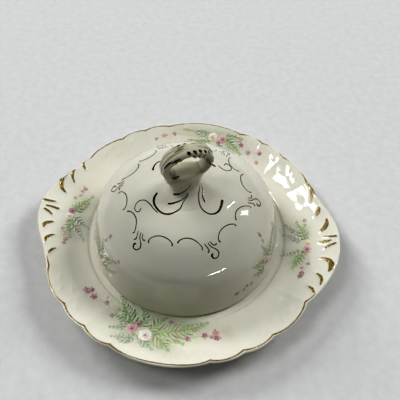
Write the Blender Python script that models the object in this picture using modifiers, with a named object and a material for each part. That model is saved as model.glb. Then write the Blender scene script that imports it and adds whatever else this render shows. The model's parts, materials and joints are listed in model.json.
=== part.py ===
"""Round covered butter dish: a scalloped underplate with two tab handles, a loose pierced
drainer, a domed cover that lifts off and the loop finial luted to the top of the cover.

Metres, +Z up. The origin is the centre of the dish on the surface it stands on, and +X runs
through the right-hand tab handle.
"""

import math

import bmesh
import bpy
from mathutils import Matrix, Vector

MM = 0.001
GAP = 0.3 * MM                      # clearance between pieces that touch
MERGE = 0.01 * MM

# Driving dimensions of the underplate
PLATE_RADIUS = 98.0 * MM            # rim on the long scallops
TAB_REACH = 7.2 * MM                # how far a tab handle stands beyond the rim
TAB_HALF_ANGLE = 30.0               # degrees either side of the X axis
SLIM_TAB = 1.35                     # how fast a tab handle narrows towards its ends
FULL_TAB = 0.48                     # the same on the front of the right-hand tab, which is fuller
NOTCH_ANGLES = (30, 48, 60, 72, 108, 120, 132, 150)   # degrees, mirrored front to back
NOTCH_DEPTH = 1.7 * MM
FLOOR_HEIGHT = 7.0 * MM             # top of the flat well
WELL_RADIUS = 68.5 * MM
RIM_HEIGHT = 17.4 * MM
TAB_RISE = 0.9 * MM
PLATE_WALL = 3.6 * MM
FOOT_OUTER = 58.0 * MM
FOOT_INNER = 53.0 * MM
FOOT_HEIGHT = 2.8 * MM

# Driving dimensions of the cover
COVER_RADIUS = 65.0 * MM            # widest, just above its rim
COVER_WALL = 3.8 * MM
COVER_SEAT = FLOOR_HEIGHT + GAP
COVER_TOP = 57.2 * MM
COVER_TURN = 30.0                   # degrees that the cover is turned from the tab handles

# Driving dimensions of the loop finial
FINIAL_BASE_RADIUS = 12.6 * MM
FINIAL_BASE = COVER_TOP + GAP
LOOP_HALF_WIDTH = 13.6 * MM         # to the middle of the strap
LOOP_HALF_HEIGHT = 10.0 * MM
LOOP_CENTRE = 78.0 * MM
LOOP_SHIFT = 1.8 * MM               # along its own plane, off the axis of the cover
STRAP_WIDTH = 9.0 * MM              # across the plane of the loop
STRAP_THICKNESS = 5.2 * MM

# Driving dimensions of the drainer
DRAINER_RADIUS = 47.0 * MM
DRAINER_THICKNESS = 3.6 * MM
DRAINER_FEET = 3
DRAINER_FOOT_HEIGHT = 2.6 * MM
FINGER_HOLE_RADIUS = 8.0 * MM
DRAIN_HOLE_RADIUS = 3.0 * MM
DRAIN_RINGS = ((20.0 * MM, 6), (33.0 * MM, 12))


def empty_scene():
    """Remove every object that the file started with."""
    for item in list(bpy.data.objects):
        bpy.data.objects.remove(item, do_unlink=True)


def make_collection(name):
    group = bpy.data.collections.new(name)
    bpy.context.scene.collection.children.link(group)
    return group


def make_material(name, colour, roughness):
    material = bpy.data.materials.new(name)
    material.use_nodes = True
    shader = material.node_tree.nodes["Principled BSDF"]
    shader.inputs["Base Color"].default_value = (*colour, 1.0)
    shader.inputs["Roughness"].default_value = roughness
    shader.inputs["Metallic"].default_value = 0.0
    return material


def add_object(name, mesh, group, material=None):
    item = bpy.data.objects.new(name, mesh)
    if material is not None:
        mesh.materials.clear()
        mesh.materials.append(material)
    group.objects.link(item)
    return item


def rounded(points, steps):
    """Catmull-Rom samples through the (radius, height) points of one smooth stretch."""
    ends = [points[0], *points, points[-1]]
    samples = []
    for before, start, end, after in zip(ends, ends[1:], ends[2:], ends[3:]):
        for step in range(steps):
            t = step / steps
            samples.append(tuple(
                0.5 * (2 * b + (c - a) * t + (2 * a - 5 * b + 4 * c - d) * t * t
                       + (3 * b - a - 3 * c + d) * t ** 3)
                for a, b, c, d in zip(before, start, end, after)
            ))
    samples.append(points[-1])
    return samples


def turned(name, profile, steps, group):
    """A solid turned from a (radius, height) profile that starts and ends on the axis."""
    mesh = bpy.data.meshes.new(name)
    points = [(radius, 0.0, height) for radius, height in profile]
    mesh.from_pydata(points, [(i, i + 1) for i in range(len(points) - 1)], [])
    item = add_object(name, mesh, group)
    screw = item.modifiers.new("Turn", "SCREW")
    screw.axis = "Z"
    screw.angle = math.tau
    screw.steps = steps
    screw.render_steps = steps
    screw.use_merge_vertices = True
    screw.merge_threshold = MERGE
    return item


def baked(item):
    """Replace an object's modifiers, or a curve, by the mesh that they make."""
    graph = bpy.context.evaluated_depsgraph_get()
    mesh = bpy.data.meshes.new_from_object(item.evaluated_get(graph))
    cleaner = bmesh.new()
    cleaner.from_mesh(mesh)
    bmesh.ops.remove_doubles(cleaner, verts=cleaner.verts, dist=MERGE)
    bmesh.ops.recalc_face_normals(cleaner, faces=cleaner.faces)
    cleaner.to_mesh(mesh)
    cleaner.free()
    name = item.name
    group = item.users_collection[0]
    place = item.matrix_world.copy()
    bpy.data.objects.remove(item, do_unlink=True)
    copy = bpy.data.objects.new(name, mesh)
    copy.matrix_world = place
    group.objects.link(copy)
    return copy


def finish(item, material, sharp_angle=40.0):
    item.data.materials.clear()
    item.data.materials.append(material)
    item.data.shade_smooth()
    item.data.set_sharp_from_angle(angle=math.radians(sharp_angle))


def hidden_cutter(item):
    item.hide_render = True
    item.display_type = "WIRE"


def add_boolean(target, tool, operation):
    modifier = target.modifiers.new(tool.name, "BOOLEAN")
    modifier.operation = operation
    modifier.solver = "EXACT"
    modifier.object = tool
    hidden_cutter(tool)


def rim_radius(angle):
    """Radius of the underplate's outline: scallops between notches, and the tab handles."""
    degrees = math.degrees(angle) % 180.0
    from_tab = min(degrees, 180.0 - degrees)
    if from_tab < TAB_HALF_ANGLE:
        share = from_tab / TAB_HALF_ANGLE
        front_right = math.cos(angle) > 0 > math.sin(angle)
        crest = (0.5 + 0.5 * math.cos(math.pi * share)) ** (FULL_TAB if front_right else SLIM_TAB)
        return PLATE_RADIUS - NOTCH_DEPTH + (TAB_REACH + NOTCH_DEPTH) * crest
    for start, end in zip(NOTCH_ANGLES, NOTCH_ANGLES[1:]):
        if start <= degrees <= end:
            share = (degrees - start) / (end - start)
            bulge = math.sin(math.pi * share) ** 0.6
            depth = NOTCH_DEPTH if end - start > 15 else 0.8 * NOTCH_DEPTH
            return PLATE_RADIUS - NOTCH_DEPTH + depth * bulge
    return PLATE_RADIUS


def make_underplate(group, material):
    """The plate is turned round, and then its rim is pressed out to the scalloped outline."""
    slope = [
        (WELL_RADIUS, FLOOR_HEIGHT),
        (71.2 * MM, 8.3 * MM),
        (80.0 * MM, 11.0 * MM),
        (90.0 * MM, 14.8 * MM),
        (PLATE_RADIUS - 1.2 * MM, RIM_HEIGHT),
    ]
    top = [(0.0, FLOOR_HEIGHT), (0.6 * WELL_RADIUS, FLOOR_HEIGHT)] + rounded(slope, 2)
    edge = [
        (PLATE_RADIUS, RIM_HEIGHT - 0.8 * MM),
        (PLATE_RADIUS - 0.1 * MM, RIM_HEIGHT - 2.2 * MM),
        (PLATE_RADIUS - 1.6 * MM, RIM_HEIGHT - 3.2 * MM),
    ]
    under = [
        (90.0 * MM, 14.8 * MM - PLATE_WALL),
        (80.0 * MM, 11.0 * MM - 1.1 * PLATE_WALL),
        (69.0 * MM, 7.0 * MM - 1.05 * PLATE_WALL),
        (FOOT_OUTER + 1.2 * MM, FOOT_HEIGHT),
        (FOOT_OUTER, 0.0),
        (FOOT_INNER, 0.0),
        (FOOT_INNER - 1.2 * MM, FOOT_HEIGHT),
        (0.0, FOOT_HEIGHT),
    ]
    plate = baked(turned("underplate", top + edge + under, 120, group))
    for vertex in plate.data.vertices:
        radius = math.hypot(vertex.co.x, vertex.co.y)
        if radius <= WELL_RADIUS:
            continue
        angle = math.atan2(vertex.co.y, vertex.co.x)
        share = (radius - WELL_RADIUS) / (PLATE_RADIUS - WELL_RADIUS)
        pressed = WELL_RADIUS + share * (rim_radius(angle) - WELL_RADIUS)
        beyond = max(0.0, rim_radius(angle) - PLATE_RADIUS) / TAB_REACH
        vertex.co.x *= pressed / radius
        vertex.co.y *= pressed / radius
        vertex.co.z += TAB_RISE * beyond * share ** 2
    finish(plate, material)
    return plate


def make_cover(group, material):
    """The dome is one shell: steep walls, a rounded shoulder and a flat land for the finial."""
    outside = [
        (FINIAL_BASE_RADIUS, COVER_TOP),
        (24.0 * MM, 56.2 * MM),
        (35.4 * MM, 53.4 * MM),
        (43.8 * MM, 48.9 * MM),
        (52.2 * MM, 42.2 * MM),
        (57.8 * MM, 34.3 * MM),
        (60.3 * MM, 26.1 * MM),
        (62.6 * MM, 17.4 * MM),
        (COVER_RADIUS, 9.6 * MM),
    ]
    lip = [
        (COVER_RADIUS - 0.4 * MM, COVER_SEAT + 0.5 * MM),
        (COVER_RADIUS - 1.2 * MM, COVER_SEAT),
        (COVER_RADIUS - COVER_WALL + 0.8 * MM, COVER_SEAT),
        (COVER_RADIUS - COVER_WALL, COVER_SEAT + 0.8 * MM),
    ]
    inside = []
    for before, here, after in zip(outside, outside[1:], outside[2:]):
        run = Vector((after[0] - before[0], after[1] - before[1])).normalized()
        inside.append((here[0] + run.y * COVER_WALL, here[1] - run.x * COVER_WALL))
    inside.reverse()
    crown = [(FINIAL_BASE_RADIUS, COVER_TOP - COVER_WALL), (0.0, COVER_TOP - COVER_WALL)]
    profile = [(0.0, COVER_TOP)] + rounded(outside, 2) + lip + rounded(inside, 2) + crown
    cover = baked(turned("cover", profile, 60, group))
    cover.rotation_euler.z = math.radians(COVER_TURN)
    finish(cover, material)
    return cover


def make_finial(group, cutters, material):
    """A flattened strap bent into an upright loop, on a stem that flares on to the dome."""
    stem_profile = [
        (0.0, 72.8 * MM),
        (8.6 * MM, 72.0 * MM),
        (10.6 * MM, 69.8 * MM),
        (10.4 * MM, 66.8 * MM),
        (8.8 * MM, 62.4 * MM),
        (9.4 * MM, 59.4 * MM),
        (FINIAL_BASE_RADIUS - 0.6 * MM, FINIAL_BASE + 0.5 * MM),
        (FINIAL_BASE_RADIUS - 0.6 * MM, FINIAL_BASE),
        (0.0, FINIAL_BASE),
    ]
    stem = baked(turned("finial_stem_tool", stem_profile, 32, cutters))
    for vertex in stem.data.vertices:
        above = min(1.0, max(0.0, (vertex.co.z - 60.0 * MM) / (8.0 * MM)))
        vertex.co.x *= 1.0 + 0.15 * above
        vertex.co.y *= 1.0 - 0.25 * above

    section = bpy.data.curves.new("strap_section", "CURVE")
    section.dimensions = "2D"
    outline = section.splines.new("POLY")
    corners = 12
    outline.points.add(corners - 1)
    for index, point in enumerate(outline.points):
        turn = math.tau * index / corners
        across = math.copysign(abs(math.cos(turn)) ** 0.7, math.cos(turn))
        through = math.copysign(abs(math.sin(turn)) ** 0.7, math.sin(turn))
        point.co = (0.5 * STRAP_THICKNESS * across, 0.5 * STRAP_WIDTH * through, 0.0, 1.0)
    outline.use_cyclic_u = True
    section_object = bpy.data.objects.new("strap_section", section)
    cutters.objects.link(section_object)
    hidden_cutter(section_object)

    path = bpy.data.curves.new("loop_finial", "CURVE")
    path.dimensions = "2D"
    path.bevel_mode = "OBJECT"
    path.bevel_object = section_object
    ring = path.splines.new("POLY")
    segments = 32
    ring.points.add(segments - 1)
    for index, point in enumerate(ring.points):
        turn = math.tau * index / segments
        point.co = (LOOP_HALF_WIDTH * math.cos(turn), LOOP_HALF_HEIGHT * math.sin(turn), 0.0, 1.0)
    ring.use_cyclic_u = True
    loop = bpy.data.objects.new("loop_finial", path)
    group.objects.link(loop)
    upright = Matrix.Rotation(math.pi / 2, 4, "X")
    loop.matrix_world = Matrix.Translation((LOOP_SHIFT, 0, LOOP_CENTRE)) @ upright
    bpy.context.view_layer.update()
    loop = baked(loop)
    add_boolean(loop, stem, "UNION")
    bpy.context.view_layer.update()
    loop = baked(loop)
    loop.matrix_world = Matrix.Rotation(math.radians(COVER_TURN), 4, "Z") @ loop.matrix_world
    finish(loop, material)
    return loop


def make_drainer(group, cutters, material):
    """A flat disc with a rounded edge, drain holes in rings, a finger hole and three feet."""
    bottom = FLOOR_HEIGHT + GAP + DRAINER_FOOT_HEIGHT
    top = bottom + DRAINER_THICKNESS
    profile = [
        (0.0, top),
        (DRAINER_RADIUS - 1.2 * MM, top),
        (DRAINER_RADIUS, top - 1.0 * MM),
        (DRAINER_RADIUS, bottom + 1.0 * MM),
        (DRAINER_RADIUS - 1.2 * MM, bottom),
        (0.0, bottom),
    ]
    drainer = baked(turned("drainer", profile, 60, group))

    def cylinder(name, radius, low, high, x, y, sides):
        shape = bmesh.new()
        bmesh.ops.create_cone(
            shape, cap_ends=True, segments=sides, radius1=radius, radius2=radius, depth=high - low,
            matrix=Matrix.Translation((x, y, 0.5 * (low + high))),
        )
        mesh = bpy.data.meshes.new(name)
        shape.to_mesh(mesh)
        shape.free()
        return add_object(name, mesh, cutters)

    for foot in range(DRAINER_FEET):
        angle = math.tau * (foot + 0.25) / DRAINER_FEET
        reach = DRAINER_RADIUS - 5.5 * MM
        add_boolean(drainer, cylinder(
            f"drainer_foot_tool_{foot}", 3.4 * MM, FLOOR_HEIGHT + GAP, bottom + 1.0 * MM,
            reach * math.cos(angle), reach * math.sin(angle), 20,
        ), "UNION")
    add_boolean(drainer, cylinder(
        "finger_hole_tool", FINGER_HOLE_RADIUS, bottom - MM, top + MM, 0.0, 0.0, 32,
    ), "DIFFERENCE")
    for ring_radius, count in DRAIN_RINGS:
        for hole in range(count):
            angle = math.tau * (hole + 0.41) / count
            add_boolean(drainer, cylinder(
                f"drain_hole_tool_{count}_{hole}", DRAIN_HOLE_RADIUS, bottom - MM, top + MM,
                ring_radius * math.cos(angle), ring_radius * math.sin(angle), 12,
            ), "DIFFERENCE")
    bpy.context.view_layer.update()
    drainer = baked(drainer)
    finish(drainer, material)
    return drainer


def main():
    empty_scene()
    group = make_collection("butter_dish")
    cutters = make_collection("butter_dish_tools")
    glaze = make_material("ivory_glaze", (0.80, 0.77, 0.68), 0.18)
    gilt = make_material("gilt_glaze", (0.74, 0.70, 0.58), 0.22)
    plain = make_material("plain_glaze", (0.82, 0.79, 0.71), 0.24)
    make_underplate(group, glaze)
    make_cover(group, glaze)
    make_finial(group, cutters, gilt)
    make_drainer(group, cutters, plain)


main()
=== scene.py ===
"""Looks of the round covered butter dish: cream glazed earthenware with printed ferns and roses,
moulded tab handles brushed with gold, a stencilled gold ring on the cover and a leafy loop finial.

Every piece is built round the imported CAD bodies. Metres, +Z up; shapes are designed in
millimetres and turned into metres when their meshes are made.
"""

import json
import math
import random

import bmesh
import bpy
import numpy as np
from mathutils import Matrix, Vector
from mathutils.bvhtree import BVHTree

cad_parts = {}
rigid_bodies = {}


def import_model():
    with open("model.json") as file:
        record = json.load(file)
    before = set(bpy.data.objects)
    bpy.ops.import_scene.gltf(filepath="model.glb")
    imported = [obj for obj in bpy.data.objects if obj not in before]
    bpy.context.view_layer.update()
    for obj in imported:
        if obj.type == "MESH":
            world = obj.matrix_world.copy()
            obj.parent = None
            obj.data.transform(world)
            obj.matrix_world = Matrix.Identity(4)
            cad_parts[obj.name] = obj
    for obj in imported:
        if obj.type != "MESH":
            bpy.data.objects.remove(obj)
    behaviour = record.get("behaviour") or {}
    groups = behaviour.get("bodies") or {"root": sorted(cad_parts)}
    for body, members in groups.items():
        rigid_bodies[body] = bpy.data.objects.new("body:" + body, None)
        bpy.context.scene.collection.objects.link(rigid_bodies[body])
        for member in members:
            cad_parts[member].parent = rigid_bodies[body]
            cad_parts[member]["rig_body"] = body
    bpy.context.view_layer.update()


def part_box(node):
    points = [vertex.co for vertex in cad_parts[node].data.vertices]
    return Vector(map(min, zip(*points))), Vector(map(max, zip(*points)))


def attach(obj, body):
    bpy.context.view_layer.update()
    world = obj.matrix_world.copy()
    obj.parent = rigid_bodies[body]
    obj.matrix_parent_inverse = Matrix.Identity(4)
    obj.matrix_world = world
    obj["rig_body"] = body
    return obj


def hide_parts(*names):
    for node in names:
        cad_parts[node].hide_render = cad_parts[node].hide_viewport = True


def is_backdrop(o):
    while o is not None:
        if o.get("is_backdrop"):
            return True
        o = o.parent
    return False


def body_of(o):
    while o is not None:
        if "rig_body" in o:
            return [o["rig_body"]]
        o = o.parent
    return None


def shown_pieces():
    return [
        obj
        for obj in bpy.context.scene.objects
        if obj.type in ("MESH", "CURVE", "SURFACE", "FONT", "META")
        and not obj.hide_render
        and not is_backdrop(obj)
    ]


MM = 0.001
RIBBON_ROOT = 0.05          # millimetres that laid gold and ink reach under the skin

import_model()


def box_mm(node):
    low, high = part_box(node)
    return np.array(low) / MM, np.array(high) / MM


plate_high = box_mm("underplate")[1]
cover_low, cover_high = box_mm("cover")
finial_high = box_mm("loop_finial")[1]
drainer_low, drainer_high = box_mm("drainer")

# Underplate, in millimetres
PLATE_RADIUS = plate_high[1]
TAB_REACH = plate_high[0] - PLATE_RADIUS
TAB_RISE = 0.9
RIM_HEIGHT = plate_high[2] - TAB_RISE
TAB_HALF_ANGLE = 30.0
SLIM_TAB = 1.35             # how fast a tab handle narrows towards its ends
FULL_TAB = 0.48             # the same on the front of the right-hand tab, which is fuller
TAB_LOBE = 0.55             # depth of the small waves along a tab's edge
NOTCH_ANGLES = (30, 48, 60, 72, 108, 120, 132, 150)
NOTCH_DEPTH = 1.7
NOTCH_REACH = 2.6           # degrees from a notch in which the gold line is wider
FLOOR_HEIGHT = 7.0
WELL_RADIUS = 68.5
FOOT_OUTER = 58.0
FOOT_INNER = 53.0

# Cover and finial, in millimetres
COVER_RADIUS = cover_high[1]
COVER_SEAT = cover_low[2]
COVER_WALL = 3.8
COVER_TURN = math.radians(30.0)
FINIAL_TOP = finial_high[2]

GLAZE = (0.800, 0.772, 0.680)
# the cover's cream glaze: the plate's same glaze painted darker, as painted shade on the dome
SHADED_COVER_GLAZE = (0.690, 0.668, 0.580)
# the finial's glaze: a browner tone, and painted darker still as painted shade
FINIAL_TONE_AND_SHADE = (0.560, 0.540, 0.430)
GREEN = (0.315, 0.430, 0.185)
DEEP_GREEN = (0.255, 0.370, 0.165)
YELLOW_GREEN = (0.400, 0.500, 0.230)
PALE_STEM = (0.560, 0.600, 0.420)
BLUE_GREEN = (0.360, 0.430, 0.300)
GREY_BLUE = (0.500, 0.520, 0.430)
MAUVE = (0.470, 0.370, 0.385)
DUSK = (0.330, 0.270, 0.260)
MAGENTA = (0.350, 0.135, 0.185)
PINK = (0.660, 0.420, 0.430)
BLUSH = (0.860, 0.640, 0.620)
CREAM = (0.900, 0.840, 0.700)
OCHRE = (0.620, 0.480, 0.230)
PALE_PETAL = (0.92, 0.87, 0.78)
BARE_FOOT = (0.62, 0.56, 0.44)
BARE_LIP = (0.66, 0.60, 0.48)
WHITE = (1.0, 1.0, 1.0)


# ---------------------------------------------------------------- curves and meshes

def smooth_path(points, step):
    """Catmull-Rom curve through points of any dimension, resampled about every step."""
    points = np.asarray(points, float)
    ends = np.vstack([2 * points[0] - points[1], points, 2 * points[-1] - points[-2]])
    samples = []
    for before, start, end, after in zip(ends, ends[1:], ends[2:], ends[3:]):
        t = np.linspace(0, 1, 16, endpoint=False)[:, None]
        samples.append(0.5 * (
            2 * start + (end - before) * t + (2 * before - 5 * start + 4 * end - after) * t ** 2
            + (3 * start - before - 3 * end + after) * t ** 3
        ))
    dense = np.vstack(samples + [points[-1:]])
    along = travelled(dense)
    count = max(4, int(math.ceil(along[-1] / step)) + 1)
    even = np.linspace(0, along[-1], count)
    return np.stack([np.interp(even, along, column) for column in dense.T], axis=1)


def travelled(path, dimensions=2):
    steps = np.linalg.norm(np.diff(path[:, :dimensions], axis=0), axis=1)
    return np.concatenate([[0.0], np.cumsum(steps)])


def path_distance(places, path):
    """Distance from each (x, y) place to a polyline, and the share of the way along it."""
    nearest = np.full(len(places), np.inf)
    share = np.zeros(len(places))
    for index, (start, end) in enumerate(zip(path, path[1:])):
        run = end - start
        t = np.clip(((places - start) @ run) / max(run @ run, 1e-12), 0, 1)
        distance = np.hypot(*(places - start - t[:, None] * run).T)
        closer = distance < nearest
        nearest[closer] = distance[closer]
        share[closer] = (index + t[closer]) / (len(path) - 1)
    return nearest, share


def wobble(points, size, seed=0.0):
    """Slow uneven waves in hand-made clay, for points in millimetres."""
    x, y, z = points.T
    return size * (
        np.sin(x / 7.3 + 1.7 * np.sin(y / 11.0 + seed)) * np.cos(y / 8.9 + z / 13.0 + seed)
        + 0.5 * np.sin(x / 3.9 - y / 4.7 + z / 5.1 + 2.0 * seed)
    )


class Heap:
    """Vertices, faces and colours of many small shapes that make one object."""

    def __init__(self):
        self.points = []
        self.faces = []
        self.colours = []

    def add(self, points, faces, colours):
        base = len(self.points)
        self.points.extend(map(tuple, points))
        self.faces.extend(tuple(base + corner for corner in face) for face in faces)
        self.colours.extend(map(tuple, colours))

    def build(self, name, material):
        return build_mesh(name, self.points, self.faces, self.colours, material)


def link_object(name, data):
    item = bpy.data.objects.new(name, data)
    bpy.context.scene.collection.objects.link(item)
    return item


def finish_piece(item, body):
    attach(item, body)
    return item


def build_mesh(name, points, faces, colours, material):
    """An object from points in millimetres, with a colour at each point."""
    mesh = bpy.data.meshes.new(name)
    mesh.from_pydata((np.asarray(points, float) * MM).tolist(), [], faces)
    tint = mesh.color_attributes.new("Tint", "FLOAT_COLOR", "POINT")
    rgba = np.ones((len(points), 4), np.float32)
    rgba[:, :3] = np.asarray(colours, np.float32)
    tint.data.foreach_set("color", rgba.ravel())
    mesh.materials.append(material)
    mesh.shade_smooth()
    return link_object(name, mesh)


def revolved_faces(rows, columns):
    """Faces of rings of points between a first and a last pole point."""
    faces = []
    last = 1 + rows * columns
    for column in range(columns):
        after = (column + 1) % columns
        faces.append((0, 1 + column, 1 + after))
        for row in range(rows - 1):
            low, high = 1 + row * columns, 1 + (row + 1) * columns
            faces.append((low + column, high + column, high + after, low + after))
        base = 1 + (rows - 1) * columns
        faces.append((base + column, last, base + after))
    return faces


def swept_faces(count, corners, closed=False, flipped=False):
    """Quads between rings of corners, in a row or closed to a loop, facing the other way if flipped."""
    faces = []
    for index in range(count if closed else count - 1):
        here, there = index * corners, (index + 1) % count * corners
        for corner in range(corners):
            after = (corner + 1) % corners
            quad = (here + corner, here + after, there + after, there + corner)
            faces.append((quad[1], quad[0], quad[3], quad[2]) if flipped else quad)
    return faces


class Skin:
    """The finished face of a piece, on which gold and printed shapes are laid."""

    def __init__(self, *items):
        points, faces = [], []
        for item in items:
            base = len(points)
            points.extend(vertex.co.copy() for vertex in item.data.vertices)
            faces.extend([base + corner for corner in face.vertices] for face in item.data.polygons)
        self.tree = BVHTree.FromPolygons(points, faces)

    def drop(self, x, y):
        """The first place met from above over (x, y), or over the edge where (x, y) is outside."""
        inward = 1.0
        while True:
            start = Vector((x * inward * MM, y * inward * MM, 0.3))
            hit = self.tree.ray_cast(start, Vector((0, 0, -1)))
            if hit[0] is not None:
                return np.array(hit[0]) / MM
            inward -= 0.004

    def press(self, angle, height):
        """The first place met from outside at an angle, in degrees, and a height."""
        way = Vector((math.cos(math.radians(angle)), math.sin(math.radians(angle)), 0))
        start = way * 0.3
        start.z = height * MM
        hit = self.tree.ray_cast(start, -way)
        return np.array(hit[0]) / MM

    def snap(self, point):
        place, normal, _, _ = self.tree.find_nearest(Vector(point) * MM)
        return np.array(place) / MM, np.array(normal)


def ribbon_section(skin, place, tangent, width, sides, lift, rise, root):
    """Points across a ribbon: its domed top, laid on the skin, and two corners rooted under it."""
    _, normal = skin.snap(place)
    side = np.cross(normal, tangent)
    side /= max(np.linalg.norm(side), 1e-9)
    points = []
    for step in np.linspace(-1, 1, sides):
        base, _ = skin.snap(place + side * step * 0.5 * width)
        points.append(base + normal * (lift + rise * (1 - step * step)))
    for step in (1, -1):
        points.append(place + side * step * 0.45 * width - normal * root)
    return points


def lay_ribbon(heap, skin, centre, widths, colour, rise=0.02, lift=0.03, sides=5, tip_colour=None):
    """A closed thin ribbon along places on a skin, with rounded ends and a domed top."""
    centre = np.asarray(centre, float)
    along = travelled(centre, 3)
    to_end = np.minimum(along, along[-1] - along)
    widths = np.asarray(widths, float)
    cap = np.clip(to_end / np.maximum(0.5 * widths, 1e-6), 0, 1)
    widths = np.maximum(widths * np.sqrt(1 - (1 - cap) ** 2), 0.04)
    tangents = np.gradient(centre, axis=0)
    tip_colour = colour if tip_colour is None else tip_colour
    ring = sides + 2
    points, colours = [], []
    for place, tangent, width, share in zip(centre, tangents, widths, along / along[-1]):
        points += ribbon_section(skin, place, tangent, width, sides, lift, rise * width, RIBBON_ROOT)
        colours += [np.array(colour) * (1 - share) + np.array(tip_colour) * share] * ring
    last = (len(centre) - 1) * ring
    faces = [tuple(range(ring))] + swept_faces(len(centre), ring, flipped=True)
    faces.append(tuple(last + corner for corner in reversed(range(ring))))
    heap.add(points, faces, colours)


def lay_blob(heap, skin, at, place, length, width, turn, heart, edge, lift, corners=12, wave=0.0):
    """A closed thin oval patch, heart colour at its middle and edge colour at its outline."""
    x, y = place
    middle, normal = skin.snap(at(x, y))
    ahead = at(x + 0.5 * math.cos(turn), y + 0.5 * math.sin(turn)) - middle
    ahead -= normal * (ahead @ normal)
    ahead /= np.linalg.norm(ahead)
    side = np.cross(normal, ahead)
    points = [middle + normal * lift]
    colours = [np.array(heart)]
    for scale, drop, mix in ((0.6, 0.0, 0.45), (1.0, 0.0, 1.0), (0.98, 0.09 + lift, 1.0)):
        for corner in range(corners):
            angle = math.tau * corner / corners
            reach = scale * (1 + wave * math.cos(3 * angle + turn * 5))
            spot = middle + ahead * length * reach * math.cos(angle)
            spot = spot + side * width * reach * math.sin(angle)
            base, _ = skin.snap(spot)
            points.append(base + normal * (lift - drop))
            colours.append(np.array(heart) * (1 - mix) + np.array(edge) * mix)
    faces = []
    for corner in range(corners):
        after = (corner + 1) % corners
        faces.append((0, 1 + corner, 1 + after))
        for ring in range(2):
            low, high = 1 + ring * corners, 1 + (ring + 1) * corners
            faces.append((low + corner, high + corner, high + after, low + after))
    faces.append(tuple(1 + 2 * corners + corner for corner in reversed(range(corners))))
    heap.add(points, faces, colours)


def varied(colour, amount, chance):
    """A colour made a little lighter or darker."""
    return tuple(channel * (1 + amount * (2 * chance.random() - 1)) for channel in colour)


def blended(first, second, share):
    return tuple(a * (1 - share) + b * share for a, b in zip(first, second))


# ---------------------------------------------------------------- materials

def new_material(name):
    material = bpy.data.materials.new(name)
    material.use_nodes = True
    nodes = material.node_tree.nodes
    return material, nodes, material.node_tree.links, nodes["Principled BSDF"]


def tint(nodes):
    """The colour stored at the mesh's points."""
    node = nodes.new("ShaderNodeVertexColor")
    node.layer_name = "Tint"
    return node.outputs["Color"]


def noise(nodes, links, scale, detail=3.0, roughness=0.55):
    place = nodes.new("ShaderNodeTexCoord")
    texture = nodes.new("ShaderNodeTexNoise")
    texture.inputs["Scale"].default_value = scale
    texture.inputs["Detail"].default_value = detail
    texture.inputs["Roughness"].default_value = roughness
    links.new(place.outputs["Object"], texture.inputs["Vector"])
    return texture.outputs["Fac"]


def ramp(nodes, links, source, stops):
    """A colour ramp of (position, colour or grey level) stops."""
    node = nodes.new("ShaderNodeValToRGB")
    while len(node.color_ramp.elements) < len(stops):
        node.color_ramp.elements.new(0.5)
    for element, (position, level) in zip(node.color_ramp.elements, stops):
        element.position = position
        element.color = (level, level, level, 1) if isinstance(level, float) else (*level, 1)
    links.new(source, node.inputs["Fac"])
    return node.outputs["Color"]


def multiplied(nodes, links, first, second):
    mix = nodes.new("ShaderNodeMix")
    mix.data_type = "RGBA"
    mix.blend_type = "MULTIPLY"
    mix.inputs["Factor"].default_value = 1.0
    links.new(first, mix.inputs["A"])
    links.new(second, mix.inputs["B"])
    return mix.outputs["Result"]


def bump(nodes, links, shader, source, distance, strength=1.0, under=None):
    node = nodes.new("ShaderNodeBump")
    node.inputs["Distance"].default_value = distance
    node.inputs["Strength"].default_value = strength
    links.new(source, node.inputs["Height"])
    if under is not None:
        links.new(under, node.inputs["Normal"])
    links.new(node.outputs["Normal"], shader.inputs["Normal"])
    return node.outputs["Normal"]


def specks(nodes, links, scale, size, share):
    """A map that is 1 all over except in a few tiny round kiln specks."""
    place = nodes.new("ShaderNodeTexCoord")
    cells = nodes.new("ShaderNodeTexVoronoi")
    cells.inputs["Scale"].default_value = scale
    links.new(place.outputs["Object"], cells.inputs["Vector"])
    near = ramp(nodes, links, cells.outputs["Distance"], ((0.4 * size, 0.35), (size, 1.0)))
    split = nodes.new("ShaderNodeSeparateColor")
    links.new(cells.outputs["Color"], split.inputs["Color"])
    chosen = ramp(nodes, links, split.outputs["Red"], ((share, 1.0), (share + 0.01, 0.0)))
    either = nodes.new("ShaderNodeMix")
    either.data_type = "RGBA"
    either.blend_type = "LIGHTEN"
    either.inputs["Factor"].default_value = 1.0
    links.new(near, either.inputs["A"])
    links.new(chosen, either.inputs["B"])
    return either.outputs["Result"]


def glaze_material(name, gloss=0.022, mottle=0.06):
    """Clear lead glaze over a cream body: mottled, faintly stained and specked, with a soft ripple."""
    material, nodes, links, shader = new_material(name)
    cloud = ramp(nodes, links, noise(nodes, links, 38.0, 4.0), (
        (0.30, (1.0 - mottle, 1.0 - mottle, 1.0 - 1.35 * mottle)), (0.68, WHITE),
    ))
    grain = ramp(nodes, links, noise(nodes, links, 900.0, 2.0), ((0.25, 0.975), (0.75, 1.0)))
    colour = multiplied(nodes, links, tint(nodes), cloud)
    colour = multiplied(nodes, links, colour, grain)
    colour = multiplied(nodes, links, colour, specks(nodes, links, 85.0, 0.028, 0.88))
    links.new(colour, shader.inputs["Base Color"])
    smears = ramp(nodes, links, noise(nodes, links, 70.0, 5.0, 0.7), (
        (0.35, gloss), (0.75, gloss + 0.035),
    ))
    links.new(smears, shader.inputs["Roughness"])
    shader.inputs["IOR"].default_value = 1.52
    shader.inputs["Coat Weight"].default_value = 0.25
    shader.inputs["Coat Roughness"].default_value = 0.02
    ripple = bump(nodes, links, shader, noise(nodes, links, 130.0, 2.0), 0.00006)
    bump(nodes, links, shader, noise(nodes, links, 1500.0, 2.0), 0.000004, under=ripple)
    return material


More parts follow.
